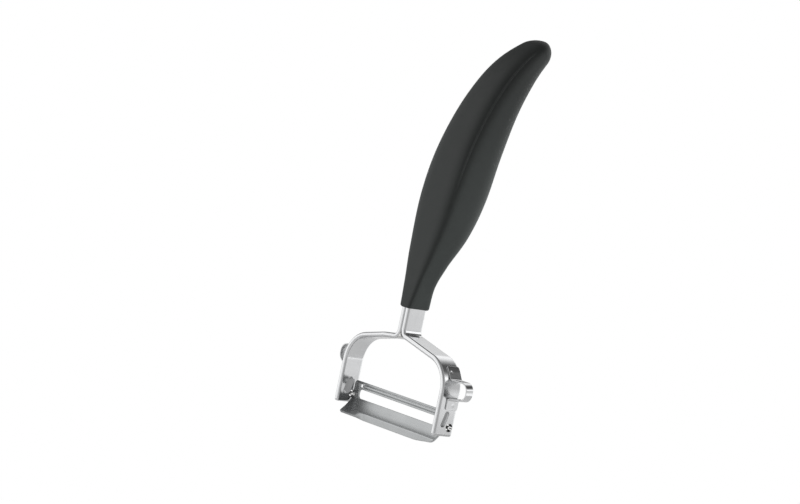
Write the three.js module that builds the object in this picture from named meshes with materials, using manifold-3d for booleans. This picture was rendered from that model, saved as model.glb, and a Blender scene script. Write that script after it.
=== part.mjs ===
// A vegetable peeler with a transverse swinging blade: a yoke of two bent steel strips,
// an eye-remover loop on each arm, a stamped blade on rolled lugs, and a curved two-layer handle.
// Axes: X across the arms, Y from front to back, Z up along the stem. Millimetres.
import * as THREE from 'three';
import { mergeVertices } from 'three/addons/utils/BufferGeometryUtils.js';
import Module from 'manifold-3d';

const wasm = await Module();
wasm.setup();

// Yoke strips
const YOKE_WIDTH = 65.3;
const STRIP_WIDTH = 10;
const STRIP_THICKNESS = 2.2;
const STEM_SEAM = 0.1;
const ARM_HEIGHT = 28.1;
const SHOULDER_RISE = 6.9;
const SHOULDER_RADIUS = 12.5;
const STEM_RADIUS = 3.1;
const STEM_LENGTH = 11.3;
const ARM_FOOT_RADIUS = 1;
// Each strip's own dip before the stem: how far out it starts, how far it drops, how softly it bends
const RIGHT_DIP = { run: 3.4, drop: 0.3, radius: 5 };
const LEFT_DIP = { run: 9, drop: 1, radius: 24 };

// Tang inside the handle, with its key hole
const TANG_NECK = 9;
const TANG_LENGTH = 29;
const TANG_WIDTH = 4.4;
const KEY_DIAMETER = 2.2;
const KEY_HEIGHT = 20;

// Weld metal in the V between the strips, as angles round the stem bend
const WELD_TOP_ANGLE = 22;
const WELD_BOTTOM_ANGLE = 51;

// Blade pivot and the stop boss pressed into each arm, as places on the arm
const PIVOT_BACK = 2.6;
const PIVOT_HEIGHT = 3.8;
const LUG_DIAMETER = 2.4;
const LUG_CLEARANCE = 0.4;
const LUG_PROUD = 0.8;
const BOSS_LENGTH = 4.5;
const BOSS_LEAN = 15;
const BOSS_FROM_PIVOT = 3.65;
const BOSS_ABOVE_PIVOT = 1.1;
const BOSS_DIAMETER = 3;
const BOSS_DEPTH = 1.5;
const DIMPLE_DIAMETER = 2.1;

// Blade: section measured from the pivot, then its slot
const BLADE_END_GAP = 0.7;
const BLADE_THICKNESS = 0.9;
const BLADE_BEND_BACK = 0.1;
const BLADE_BEND_BELOW = 1.15;
const BLADE_BEND_RADIUS = 1.5;
const PLATE_SLOPE = 51.5;
const PLATE_LENGTH = 6.5;
const LIP_LENGTH = 2.4;
const LIP_TURN = 20;
const BAR_HEIGHT = 6;
const BAR_WIDTH = 3.1;
const BAR_FLANGE = 1;
const BAR_FOLD = 22;
const SLOT_BELOW_PIVOT = 1;
const SLOT_END = 3.6;
const SLOT_CORNER = 1.4;
const RELIEF_WIDTH = 1.6;
const RELIEF_HEIGHT = 1.3;
const PLATE_LEFT_CORNER = 1;
const PLATE_RIGHT_CORNER = 2.6;
const LIP_LIFT = 1.2;
const LIP_LIFT_FROM = 17;
const LIP_MARGIN = 0.05;
const BAR_CORNER = 1.2;

// Eye loops
const LOOP_THICKNESS = 0.5;
const LOOP_WIDTH = 6.7;
const LOOP_APEX_WIDTH = 4.8;
const LOOP_REACH = 8.2;
const LOOP_CENTRE_HEIGHT = 19.6;
const LOOP_OPENING = 7;
const LOOP_CORNER = 3.5;
const LOOP_ROOT_RADIUS = 1.2;
const LOOP_UPPER_TAIL = 4.8;
const LOOP_LOWER_TAIL = 3.6;

// Handle: its length up from the foot, foot walls round the stem, then stations along the spine
const HANDLE_LENGTH = 117;
const FOOT_SIDE_WALL = 0.75;
const FOOT_EDGE_WALL = 0.9;
const SKIN_THICKNESS = 2;
const CORE_START = 11;
const TIP_ROUNDING = 7;
const FOOT_POWER = 8;
// Each station: share of the length, spine towards the back, depth to the front and to the rear of it,
// half width, and how square the section is in front and at the rear
const WAIST = { share: 0.0915, back: 0.2, front: 5.2, rear: 5.42, width: 4.9, powers: [7.5, 6] };
const NECK = { share: 0.1795, back: 2, front: 6.25, rear: 6.9, width: 7.2, powers: [7, 4.6] };
const SWELL = { share: 0.3051, back: 5.9, front: 8.94, rear: 10.37, width: 9.8, powers: [6.5, 3.7] };
const PALM = { share: 0.4248, back: 8.7, front: 10.25, rear: 12.13, width: 10.9, powers: [6, 3.3] };
const MIDDLE = { share: 0.5915, back: 12.8, front: 10.22, rear: 11.5, width: 10.9, powers: [4.6, 3.2] };
const FINGER = { share: 0.7624, back: 19.8, front: 8.86, rear: 9.52, width: 10.3, powers: [3.6, 3] };
const TAPER = { share: 0.8855, back: 28.3, front: 7.28, rear: 7.53, width: 9.3, powers: [2.9, 2.7] };
const TIP = { share: 1, back: 41.4, front: 4.33, rear: 4.33, width: 6.6, powers: [2.4, 2.4] };

// Clearances between pieces that touch
const WELD_GAP = 0.1;
const MOULD_GAP = 0.15;

// Facets
const ARC_STEP = 10;
const SECTION_POINTS = 24;
const HANDLE_RINGS = 20;
const TIP_RINGS = 5;
const TIP_FLAT = 0.35;
const SEARCH_STEPS = 40;
const MERGE_DISTANCE = 1e-5;

// Places that follow from the sizes above
const halfYoke = YOKE_WIDTH / 2;
const armX = halfYoke - STRIP_THICKNESS / 2;
const stemX = (STEM_SEAM + STRIP_THICKNESS) / 2;
const stackHalf = STEM_SEAM / 2 + STRIP_THICKNESS;
const shoulderTop = ARM_HEIGHT + SHOULDER_RISE;
const handleFoot = shoulderTop + STEM_LENGTH;
const armFace = armX - STRIP_THICKNESS / 2;
const bladeHalf = armFace - BLADE_END_GAP;
const halfStrip = STRIP_WIDTH / 2;
const shoulderAngle = Math.atan2(SHOULDER_RISE, armX - stemX);

// Steel and plastic
const steel = (shade) => new THREE.MeshStandardMaterial({ color: shade, metalness: 1, roughness: 0.28 });
const plastic = (shade) => new THREE.MeshStandardMaterial({ color: shade, metalness: 0, roughness: 0.7 });
const yokeSteel = steel(0xc4c6c8);
const loopSteel = steel(0xcdcfd1);
const bladeSteel = steel(0xb4b6b8);
const weldSteel = steel(0xa9abad);
const gripPlastic = plastic(0x2f3130);
const corePlastic = plastic(0x4a4c4c);

// Solids from closed geometries, and back

function solid(geometry) {
  const bare = geometry.clone();
  bare.deleteAttribute('normal');
  bare.deleteAttribute('uv');
  const merged = mergeVertices(bare, MERGE_DISTANCE);
  return new wasm.Manifold(new wasm.Mesh({
    numProp: 3,
    vertProperties: new Float32Array(merged.attributes.position.array),
    triVerts: new Uint32Array(merged.index.array),
  }));
}

function geometryOf(body) {
  const mesh = body.getMesh();
  const geometry = new THREE.BufferGeometry();
  geometry.setAttribute('position', new THREE.BufferAttribute(new Float32Array(mesh.vertProperties), 3));
  geometry.setIndex(new THREE.BufferAttribute(new Uint32Array(mesh.triVerts), 1));
  return geometry;
}

function mirrored(geometry) {
  const twin = geometry.clone().scale(-1, 1, 1);
  const index = twin.index.array;
  for (let i = 0; i < index.length; i += 3) {
    [index[i], index[i + 1]] = [index[i + 1], index[i]];
  }
  return twin;
}

function named(name, geometry, material) {
  const mesh = new THREE.Mesh(geometry, material);
  mesh.name = name;
  return mesh;
}

// Outlines

const radians = THREE.MathUtils.degToRad;
const point = (x, y, radius = 0) => ({ x, y, radius });

function arcPoints(centreX, centreY, radius, fromAngle, toAngle) {
  const steps = Math.max(2, Math.ceil(Math.abs(toAngle - fromAngle) / radians(ARC_STEP)));
  return Array.from({ length: steps + 1 }, (_, i) => {
    const angle = fromAngle + ((toAngle - fromAngle) * i) / steps;
    return point(centreX + radius * Math.cos(angle), centreY + radius * Math.sin(angle));
  });
}

// A line through corners, each rounded by its own radius where it has one
function roundedPath(corners) {
  return corners.flatMap((corner, i) => {
    if (!corner.radius) return [point(corner.x, corner.y)];
    const at = new THREE.Vector2(corner.x, corner.y);
    const before = new THREE.Vector2(corners[i - 1].x, corners[i - 1].y).sub(at).normalize();
    const after = new THREE.Vector2(corners[i + 1].x, corners[i + 1].y).sub(at).normalize();
    const half = Math.acos(THREE.MathUtils.clamp(before.dot(after), -1, 1)) / 2;
    const middle = before.clone().add(after).normalize();
    const centre = middle.multiplyScalar(corner.radius / Math.sin(half)).add(at);
    const start = before.multiplyScalar(corner.radius / Math.tan(half)).add(at).sub(centre).angle();
    const end = after.multiplyScalar(corner.radius / Math.tan(half)).add(at).sub(centre).angle();
    const turn = THREE.MathUtils.euclideanModulo(end - start + Math.PI, 2 * Math.PI) - Math.PI;
    return arcPoints(centre.x, centre.y, corner.radius, start, start + turn);
  });
}

// The outline of a strip of even thickness whose middle follows a path
function ribbon(path, thickness) {
  const sides = [1, -1].map((side) => path.map((at, i) => {
    const back = path[Math.max(i - 1, 0)];
    const ahead = path[Math.min(i + 1, path.length - 1)];
    const into = new THREE.Vector2(at.x - back.x, at.y - back.y).normalize();
    const out = new THREE.Vector2(ahead.x - at.x, ahead.y - at.y).normalize();
    const along = into.add(out).normalize();
    const bend = i > 0 && i < path.length - 1 ? along.dot(out) : 1;
    const offset = (side * thickness) / 2 / bend;
    return new THREE.Vector2(at.x - along.y * offset, at.y + along.x * offset);
  }));
  return new THREE.Shape([...sides[0], ...sides[1].reverse()]);
}

function closedShape(corners) {
  const looped = [corners[corners.length - 1], ...corners, corners[0]];
  const path = roundedPath(looped.map((corner, i) => (
    i === 0 || i === looped.length - 1 ? point(corner.x, corner.y) : corner
  ))).slice(1, -1);
  return new THREE.Shape(path.map((at) => new THREE.Vector2(at.x, at.y)));
}

// A slot with round ends round two centres
function stadium(low, high, radius) {
  const lean = Math.atan2(high.y - low.y, high.x - low.x);
  const top = arcPoints(high.x, high.y, radius, lean - Math.PI / 2, lean + Math.PI / 2);
  const bottom = arcPoints(low.x, low.y, radius, lean + Math.PI / 2, lean + 1.5 * Math.PI);
  return new THREE.Shape([...top, ...bottom].map((at) => new THREE.Vector2(at.x, at.y)));
}

// Prisms: an outline in X and Z drawn out along Y, or in Y and Z along X

function alongY(shape, front, back) {
  const geometry = new THREE.ExtrudeGeometry(shape, { depth: back - front, bevelEnabled: false });
  const turn = new THREE.Matrix4().makeBasis(
    new THREE.Vector3(1, 0, 0),
    new THREE.Vector3(0, 0, 1),
    new THREE.Vector3(0, -1, 0),
  );
  return geometry.applyMatrix4(turn).translate(0, back, 0);
}

function alongX(shape, from, to) {
  const geometry = new THREE.ExtrudeGeometry(shape, { depth: to - from, bevelEnabled: false });
  const turn = new THREE.Matrix4().makeBasis(
    new THREE.Vector3(0, 1, 0),
    new THREE.Vector3(0, 0, 1),
    new THREE.Vector3(1, 0, 0),
  );
  return geometry.applyMatrix4(turn).translate(from, 0, 0);
}

// A closed skin over rings of points, counter-clockwise seen from the last ring
function loft(rings) {
  const count = rings[0].length;
  const points = rings.flat();
  const index = [];
  const quad = (a, b, c, d) => index.push(a, b, d, a, d, c);
  for (let ring = 0; ring + 1 < rings.length; ring += 1) {
    for (let i = 0; i < count; i += 1) {
      const a = ring * count + i;
      const b = ring * count + ((i + 1) % count);
      quad(a, b, a + count, b + count);
    }
  }
  const last = (rings.length - 1) * count;
  const middle = (from) => points.slice(from, from + count)
    .reduce((sum, at) => sum.add(at), new THREE.Vector3()).divideScalar(count);
  const foot = points.push(middle(0)) - 1;
  const head = points.push(middle(last)) - 1;
  for (let i = 0; i < count; i += 1) {
    const next = (i + 1) % count;
    index.push(foot, next, i);
    index.push(head, last + i, last + next);
  }
  return new THREE.BufferGeometry().setFromPoints(points).setIndex(index);
}

// Handle: a spine in the Y-Z plane with a superellipse section square to it

const footDepth = halfStrip + FOOT_EDGE_WALL;
const FOOT = {
  share: 0,
  back: 0,
  front: footDepth,
  rear: footDepth,
  width: stackHalf + FOOT_SIDE_WALL,
  powers: [FOOT_POWER, FOOT_POWER],
};
const stations = [FOOT, WAIST, NECK, SWELL, PALM, MIDDLE, FINGER, TAPER, TIP];
const upOf = (station) => HANDLE_LENGTH * station.share;
const spine = new THREE.CatmullRomCurve3(
  stations.map((s) => new THREE.Vector3(0, s.back, handleFoot + upOf(s))), false, 'centripetal');
const girthOf = (side) => new THREE.CatmullRomCurve3(
  stations.map((s) => new THREE.Vector3(s[side], s.width, upOf(s))), false, 'centripetal');
const frontGirth = girthOf('front');
const rearGirth = girthOf('rear');

function powerAt(up, side) {
  const next = Math.max(1, stations.findIndex((s) => upOf(s) >= Math.min(up, upOf(TIP))));
  const low = stations[next - 1];
  const high = stations[next];
  return THREE.MathUtils.mapLinear(up, upOf(low), upOf(high), low.powers[side], high.powers[side]);
}

function spineShareAt(up) {
  let low = 0;
  let high = 1;
  for (let i = 0; i < SEARCH_STEPS; i += 1) {
    const share = (low + high) / 2;
    if (spine.getPoint(share).z < handleFoot + up) low = share;
    else high = share;
  }
  return low;
}

function handleRing(share, inset, rounding) {
  const centre = spine.getPoint(share);
  const along = spine.getTangent(share);
  const front = frontGirth.getPoint(share);
  const rear = rearGirth.getPoint(share);
  const frontPower = powerAt(front.z, 0);
  const rearPower = powerAt(front.z, 1);
  const width = (front.y - inset) * rounding;
  const swell = (value, power) => Math.sign(value) * Math.abs(value) ** (2 / power);
  return Array.from({ length: SECTION_POINTS }, (_, i) => {
    const angle = (2 * Math.PI * i) / SECTION_POINTS;
    const before = Math.sin(angle) < 0;
    const power = before ? frontPower : rearPower;
    const depth = ((before ? front.x : rear.x) - inset) * rounding;
    const across = width * swell(Math.cos(angle), power);
    const deep = depth * swell(Math.sin(angle), power);
    return new THREE.Vector3(across, centre.y + along.z * deep, centre.z - along.y * deep);
  });
}

function handleBody(startUp, inset) {
  const start = spineShareAt(startUp);
  const end = spineShareAt(upOf(TIP) - inset * spine.getTangent(1).z);
  const tip = spine.getPoint(end);
  const domeStart = spineShareAt(tip.z - handleFoot - TIP_ROUNDING * spine.getTangent(end).z);
  const rings = Array.from({ length: HANDLE_RINGS + 1 }, (_, i) => (
    handleRing(start + ((domeStart - start) * i) / HANDLE_RINGS, inset, 1)));
  for (let i = 1; i <= TIP_RINGS; i += 1) {
    const turn = (Math.PI / 2) * (i / (TIP_RINGS + TIP_FLAT));
    rings.push(handleRing(domeStart + (end - domeStart) * Math.sin(turn), inset, Math.cos(turn)));
  }
  return solid(loft(rings));
}

// Yoke

const tangTop = handleFoot + TANG_LENGTH;
const tangMiddle = (up) => spine.getPoint(spineShareAt(up)).y;
const keyPlace = point(tangMiddle(KEY_HEIGHT), handleFoot + KEY_HEIGHT);
const pivot = point(PIVOT_BACK, PIVOT_HEIGHT);
const stripPath = (dip) => roundedPath([
  point(armX, 0),
  point(armX, ARM_HEIGHT, SHOULDER_RADIUS),
  point(stemX + dip.run, shoulderTop - dip.run * Math.tan(shoulderAngle), dip.radius),
  point(stemX, shoulderTop - dip.drop, STEM_RADIUS),
  point(stemX, tangTop),
]);

// The tang's two edges, wider than the strip's own by a margin all round
function tangOutline(margin) {
  const neckTop = handleFoot + TANG_NECK;
  const half = TANG_WIDTH / 2 + margin;
  return [
    point(tangMiddle(TANG_NECK) + half, neckTop),
    point(tangMiddle(TANG_LENGTH) + half, tangTop + margin),
    point(tangMiddle(TANG_LENGTH) - half, tangTop + margin),
    point(tangMiddle(TANG_NECK) - half, neckTop),
  ];
}

function circle(centre, diameter) {
  return arcPoints(centre.x, centre.y, diameter / 2, 0, 2 * Math.PI).slice(1)
    .map((at) => new THREE.Vector2(at.x, at.y));
}

function stripSide() {
  const outline = closedShape([
    point(-halfStrip, 0, ARM_FOOT_RADIUS),
    point(halfStrip, 0, ARM_FOOT_RADIUS),
    point(halfStrip, handleFoot),
    ...tangOutline(0),
    point(-halfStrip, handleFoot),
  ]);
  outline.holes.push(new THREE.Path(circle(pivot, LUG_DIAMETER + 2 * LUG_CLEARANCE)));
  outline.holes.push(new THREE.Path(circle(keyPlace, KEY_DIAMETER)));
  return outline;
}

function stopBoss(diameter, from, to) {
  const lean = radians(90 - BOSS_LEAN);
  const low = point(PIVOT_BACK - BOSS_FROM_PIVOT, PIVOT_HEIGHT + BOSS_ABOVE_PIVOT);
  const high = point(low.x + BOSS_LENGTH * Math.cos(lean), low.y + BOSS_LENGTH * Math.sin(lean));
  return solid(alongX(stadium(low, high, diameter / 2), from, to));
}

function stripGeometry(dip) {
  const sheet = solid(alongY(ribbon(stripPath(dip), STRIP_THICKNESS), -halfStrip, halfStrip));
  const sides = solid(alongX(stripSide(), 0, YOKE_WIDTH));
  const boss = stopBoss(BOSS_DIAMETER, armFace - BOSS_DEPTH, armX);
  const dimple = stopBoss(DIMPLE_DIAMETER, armX - BOSS_DEPTH, YOKE_WIDTH);
  return geometryOf(sheet.intersect(sides).add(boss).subtract(dimple));
}

function weldSide(dip) {
  const slope = Math.atan2(dip.run * Math.tan(shoulderAngle) - dip.drop, dip.run);
  const bendHalf = (Math.PI / 2 - slope) / 2;
  const centreX = stemX + STEM_RADIUS;
  const centreZ = shoulderTop - dip.drop + STEM_RADIUS * Math.tan(bendHalf);
  const reach = STEM_RADIUS + STRIP_THICKNESS / 2 + WELD_GAP;
  return arcPoints(
    centreX, centreZ, reach, Math.PI + radians(WELD_TOP_ANGLE), Math.PI + radians(WELD_BOTTOM_ANGLE));
}

function weldGeometry() {
  const right = weldSide(RIGHT_DIP);
  const left = weldSide(LEFT_DIP).map((at) => point(-at.x, at.y)).reverse();
  const outline = new THREE.Shape([...right, ...left].map((at) => new THREE.Vector2(at.x, at.y)));
  return alongY(outline, WELD_GAP - halfStrip, halfStrip - WELD_GAP);
}

// Eye loops

function loopGeometry() {
  const seat = STRIP_THICKNESS / 2 + WELD_GAP + LOOP_THICKNESS / 2;
  const bendHalf = (Math.PI / 2 - shoulderAngle) / 2;
  const centreX = armX - SHOULDER_RADIUS;
  const centreZ = ARM_HEIGHT - SHOULDER_RADIUS * Math.tan(bendHalf);
  const tailRadius = SHOULDER_RADIUS + seat;
  const runOffset = (LOOP_OPENING + LOOP_THICKNESS) / 2;
  const topRun = LOOP_CENTRE_HEIGHT + runOffset;
  const bottomRun = LOOP_CENTRE_HEIGHT - runOffset;
  const apex = halfYoke + LOOP_REACH - LOOP_THICKNESS / 2;
  const leave = Math.asin((topRun - centreZ) / tailRadius);
  const tailTop = leave + (LOOP_UPPER_TAIL + LOOP_ROOT_RADIUS) / tailRadius;
  const tail = arcPoints(centreX, centreZ, tailRadius, tailTop, leave);
  const root = tail[tail.length - 1];
  const path = roundedPath([
    ...tail.slice(0, -1),
    point(root.x, root.y, LOOP_ROOT_RADIUS),
    point(apex, topRun, LOOP_CORNER),
    point(apex, bottomRun, LOOP_CORNER),
    point(armX + seat, bottomRun, LOOP_ROOT_RADIUS),
    point(armX + seat, bottomRun - LOOP_ROOT_RADIUS - LOOP_LOWER_TAIL),
  ]);
  const front = halfStrip - LOOP_WIDTH;
  const band = solid(alongY(ribbon(path, LOOP_THICKNESS), front, halfStrip));
  const apexFront = halfStrip - LOOP_APEX_WIDTH;
  const hollowStart = halfYoke + LOOP_THICKNESS;
  const hollow = new THREE.Shape()
    .moveTo(hollowStart, front - LOOP_WIDTH)
    .lineTo(hollowStart, front)
    .quadraticCurveTo((hollowStart + apex) / 2, apexFront, apex, apexFront)
    .lineTo(apex + LOOP_REACH, apexFront)
    .lineTo(apex + LOOP_REACH, front - LOOP_WIDTH);
  const cutter = new THREE.ExtrudeGeometry(hollow, {
    depth: 2 * LOOP_OPENING, bevelEnabled: false, curveSegments: 6,
  }).translate(0, 0, LOOP_CENTRE_HEIGHT - LOOP_OPENING);
  return geometryOf(band.subtract(solid(cutter)));
}

// Blade

function bladeGeometry() {
  const slope = radians(PLATE_SLOPE);
  const lipSlope = radians(PLATE_SLOPE + LIP_TURN);
  const fold = radians(BAR_FOLD);
  const bend = point(PIVOT_BACK + BLADE_BEND_BACK, PIVOT_HEIGHT - BLADE_BEND_BELOW, BLADE_BEND_RADIUS);
  const crease = point(
    bend.x - PLATE_LENGTH * Math.cos(slope),
    bend.y - PLATE_LENGTH * Math.sin(slope),
    BLADE_BEND_RADIUS,
  );
  const lip = point(
    crease.x - LIP_LENGTH * Math.cos(lipSlope),
    crease.y - LIP_LENGTH * Math.sin(lipSlope),
  );
  const barTop = PIVOT_HEIGHT + BAR_HEIGHT;
  const foldHeight = barTop - BAR_FLANGE;
  const section = roundedPath([
    lip,
    crease,
    bend,
    point(bend.x, foldHeight),
    point(bend.x + BAR_FLANGE * Math.tan(fold), barTop),
  ]);
  const strip = solid(alongX(ribbon(section, BLADE_THICKNESS), -bladeHalf, bladeHalf));
  const through = (shape) => solid(alongY(shape, -halfYoke, halfYoke));
  const lipFoot = lip.y - (BLADE_THICKNESS / 2) * Math.cos(lipSlope) - LIP_MARGIN;
  const outline = through(closedShape([
    point(-bladeHalf, lipFoot, PLATE_LEFT_CORNER),
    point(LIP_LIFT_FROM, lipFoot),
    point(bladeHalf, lipFoot + LIP_LIFT, PLATE_RIGHT_CORNER),
    point(bladeHalf, barTop + BLADE_THICKNESS / 2, BAR_CORNER),
    point(-bladeHalf, barTop + BLADE_THICKNESS / 2, BAR_CORNER),
  ]));
  const slotHalf = bladeHalf - SLOT_END;
  const slotFoot = PIVOT_HEIGHT - SLOT_BELOW_PIVOT;
  const slot = through(closedShape([
    point(-slotHalf, slotFoot, SLOT_CORNER),
    point(slotHalf, slotFoot, SLOT_CORNER),
    point(slotHalf, barTop - BAR_WIDTH, SLOT_CORNER),
    point(-slotHalf, barTop - BAR_WIDTH, SLOT_CORNER),
  ]));
  let body = strip.intersect(outline).subtract(slot);
  for (const side of [-1, 1]) {
    const near = side * (slotHalf - RELIEF_WIDTH);
    const far = side * slotHalf;
    const reliefFoot = foldHeight - RELIEF_HEIGHT;
    body = body.subtract(through(closedShape([
      point(near, reliefFoot),
      point(far, reliefFoot),
      point(far, foldHeight),
      point(near, foldHeight),
    ])));
    const ends = [side * (bladeHalf - SLOT_END / 2), side * (halfYoke + LUG_PROUD)];
    const lug = new THREE.Shape(circle(pivot, LUG_DIAMETER));
    body = body.add(solid(alongX(lug, Math.min(...ends), Math.max(...ends))));
  }
  return geometryOf(body);
}

// Handle pieces, hollowed for the tang

function tangRoom() {
  const half = stackHalf + MOULD_GAP;
  const edge = halfStrip + MOULD_GAP;
  const below = handleFoot - STEM_LENGTH / 2;
  const room = closedShape([
    point(-edge, below),
    point(edge, below),
    point(edge, handleFoot + MOULD_GAP),
    ...tangOutline(MOULD_GAP),
    point(-edge, handleFoot + MOULD_GAP),
  ]);
  room.holes.push(new THREE.Path(circle(keyPlace, KEY_DIAMETER - 2 * MOULD_GAP)));
  return solid(alongX(room, -half, half));
}

function gripGeometry() {
  const cavity = handleBody(CORE_START - MOULD_GAP, SKIN_THICKNESS - MOULD_GAP);
  return geometryOf(handleBody(0, 0).subtract(cavity).subtract(tangRoom()));
}

function coreGeometry() {
  return geometryOf(handleBody(CORE_START, SKIN_THICKNESS).subtract(tangRoom()));
}

const rightLoop = loopGeometry();

const peeler = new THREE.Group();
peeler.add(
  named('grip_skin', gripGeometry(), gripPlastic),
  named('handle_core', coreGeometry(), corePlastic),
  named('right_strip', stripGeometry(RIGHT_DIP), yokeSteel),
  named('left_strip', mirrored(stripGeometry(LEFT_DIP)), yokeSteel),
  named('stem_weld', weldGeometry(), weldSteel),
  named('right_eye_loop', rightLoop, loopSteel),
  named('left_eye_loop', mirrored(rightLoop), loopSteel),
  named('blade', bladeGeometry(), bladeSteel),
);

// The origin is the middle of the palm's hold on the handle
const held = new THREE.Group();
peeler.position.set(0, -PALM.back, -(handleFoot + upOf(PALM)));
held.add(peeler);

export default held;
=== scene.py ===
import bpy
import numpy as np
from mathutils import Matrix, Vector


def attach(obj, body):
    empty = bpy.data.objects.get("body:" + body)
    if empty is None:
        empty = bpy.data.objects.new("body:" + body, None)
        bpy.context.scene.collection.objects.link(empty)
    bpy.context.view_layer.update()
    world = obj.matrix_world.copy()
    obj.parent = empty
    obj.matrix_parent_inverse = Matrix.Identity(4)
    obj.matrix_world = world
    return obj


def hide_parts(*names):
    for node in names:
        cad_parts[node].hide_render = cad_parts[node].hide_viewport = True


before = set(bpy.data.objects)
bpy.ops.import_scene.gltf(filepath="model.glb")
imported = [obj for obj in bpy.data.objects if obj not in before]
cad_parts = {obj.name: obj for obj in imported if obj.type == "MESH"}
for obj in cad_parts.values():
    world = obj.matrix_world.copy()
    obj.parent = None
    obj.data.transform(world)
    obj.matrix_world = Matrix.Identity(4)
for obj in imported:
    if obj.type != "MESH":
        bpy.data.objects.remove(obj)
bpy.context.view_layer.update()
scene = bpy.context.scene

# Sizes in millimetres, from the arms' feet up: X across, Y to the back, Z up the stem
YOKE_WIDTH = 65.3
STRIP_WIDTH = 10.0
STRIP_THICKNESS = 2.2
STRIP_RIM = 0.9
STRIP_CROWN = 1.0
STEM_SEAM = 0.1
ARM_HEIGHT = 28.1
SHOULDER_RISE = 6.9
SHOULDER_RADIUS = 12.5
RIGHT_DIP = (3.4, 0.3, 5.0)
LEFT_DIP = (9.0, 1.0, 24.0)
STEM_RADIUS = 3.1
STEM_LENGTH = 11.3
FACET_ANGLE = 21.0
FACET_HALF = 13.0
ARM_FOOT_RADIUS = 1.0
TANG_NECK = 9.0
TANG_LENGTH = 29.0
TANG_WIDTH = 4.4
WELD_ANGLES = (22.0, 51.0)
PIVOT_BACK = 2.6
PIVOT_HEIGHT = 3.8
LUG_DIAMETER = 2.4
LUG_SHEET = 0.58
LUG_FOLD_GAP = 0.3
LUG_TILT = 14.5
LUG_CLEARANCE = 0.4
LUG_PROUD = 0.8
LUG_BACK_TRIM = 0.2
LUG_RIM = 0.15
LUG_RIM_DRAW = 0.35
HOLE_RIM = 0.2
HOLE_CORE = 1.0
HOLE_REACH = 2.0
BOSS_LENGTH = 4.5
BOSS_LEAN = 15.0
BOSS_FROM_PIVOT = 3.65
BOSS_ABOVE_PIVOT = 1.1
BOSS_DEPTH = 1.5
BOSS_REACH = 1.65
BOSS_WALL = 0.8
BOSS_TILT_SPAN = 2.0
BOSS_FRONT_SHARE = 0.3
DIMPLE_DEPTH = 1.9
DIMPLE_REACH = 1.15
DIMPLE_WALL = 0.4
DIMPLE_BACK_RISE = 0.72
BLADE_END_GAP = 0.7
BLADE_THICKNESS = 0.9
BLADE_RIM = 0.2
BLADE_BEND_BACK = 0.1
BLADE_BEND_BELOW = 1.15
BLADE_BEND_RADIUS = 0.9
PLATE_SLOPE = 51.5
PLATE_LENGTH = 6.5
LIP_LENGTH = 2.4
LIP_TURN = 20.0
LIP_FADE = (14.5, 19.5)
PLATE_DISH = 14.0
DISH_SHARE = 0.64
ROLL_LENGTH = 1.1
ROLL_TURN = 1.5
ROLL_RADIUS = 5.0
CREASE_RADIUS = 0.5
BAR_GROOVES = (1.0, 2.2)
GROOVE_HALF = 0.3
GROOVE_DEPTH = 0.3
GROOVE_RUN_OUT = 1.5
BAR_HEIGHT = 6.0
BAR_WIDTH = 3.1
BAR_FLANGE = 1.0
BAR_FOLD = 22.0
BAR_FOLD_RADIUS = 0.3
SLOT_BELOW_PIVOT = 1.0
SLOT_END = 3.6
SLOT_CORNER = 1.4
SLOT_CORNER_FADE = 0.6
RELIEF_WIDTH = 1.6
RELIEF_HEIGHT = 1.3
RELIEF_CORNER = 0.05
PLATE_LEFT_CORNER = 1.0
PLATE_RIGHT_CORNER = 2.6
LIP_LIFT = 1.2
LIFT_FROM = 17.0
LIFT_FADE = 0.6
BAR_CORNER = 1.2
LOOP_THICKNESS = 0.5
LOOP_RIM = 0.2
LOOP_WIDTH = 6.7
LOOP_APEX_WIDTH = 4.8
LOOP_REACH = 8.2
LOOP_CENTRE_HEIGHT = 19.6
LOOP_OPENING = 7.0
LOOP_CORNER = 3.5
LOOP_ROOT_RADIUS = 1.2
LOOP_UPPER_TAIL = 4.8
LOOP_LOWER_TAIL = 3.6
LOOP_FLARE = 0.9
LOOP_FLARE_MIDDLE = 0.65
LOOP_SEAT = 0.03
LOOP_INSET = 0.4
TAIL_LEAD = 3.2
TAIL_CORNER = 0.8
SPOT_RADIUS = 0.6
SPOT_DEPTH = 0.12
SPOT_EDGE = 1.4
UPPER_SPOT = (0.22, 3.0, 1.0)
LOWER_SPOT = (0.55, 2.0, 0.3)
WELD_GAP = 0.1
WELD_SAG = 0.88
WELD_END_RADIUS = 0.5
WELD_END_DRAW = 0.28
MOULD_GAP = 0.15
FOOT_SIDE_WALL = 0.75
FOOT_EDGE_WALL = 0.9
FOOT_RIM = 0.8
SKIN_THICKNESS = 2.0
CORE_START = 11.0
SLOT_POWER = 40
NECK_SHARE = 0.62
TIP_ROUNDING = 7.0
SEAM_ANGLE = 38.0
SEAM_SPREAD = 2.6
SEAM_HEIGHT = 0.26
SEAM_RUN = (0.45, 0.9)
SEAM_FADES = (0.12, 0.05)
HANDLE_LENGTH = 117.0

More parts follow.
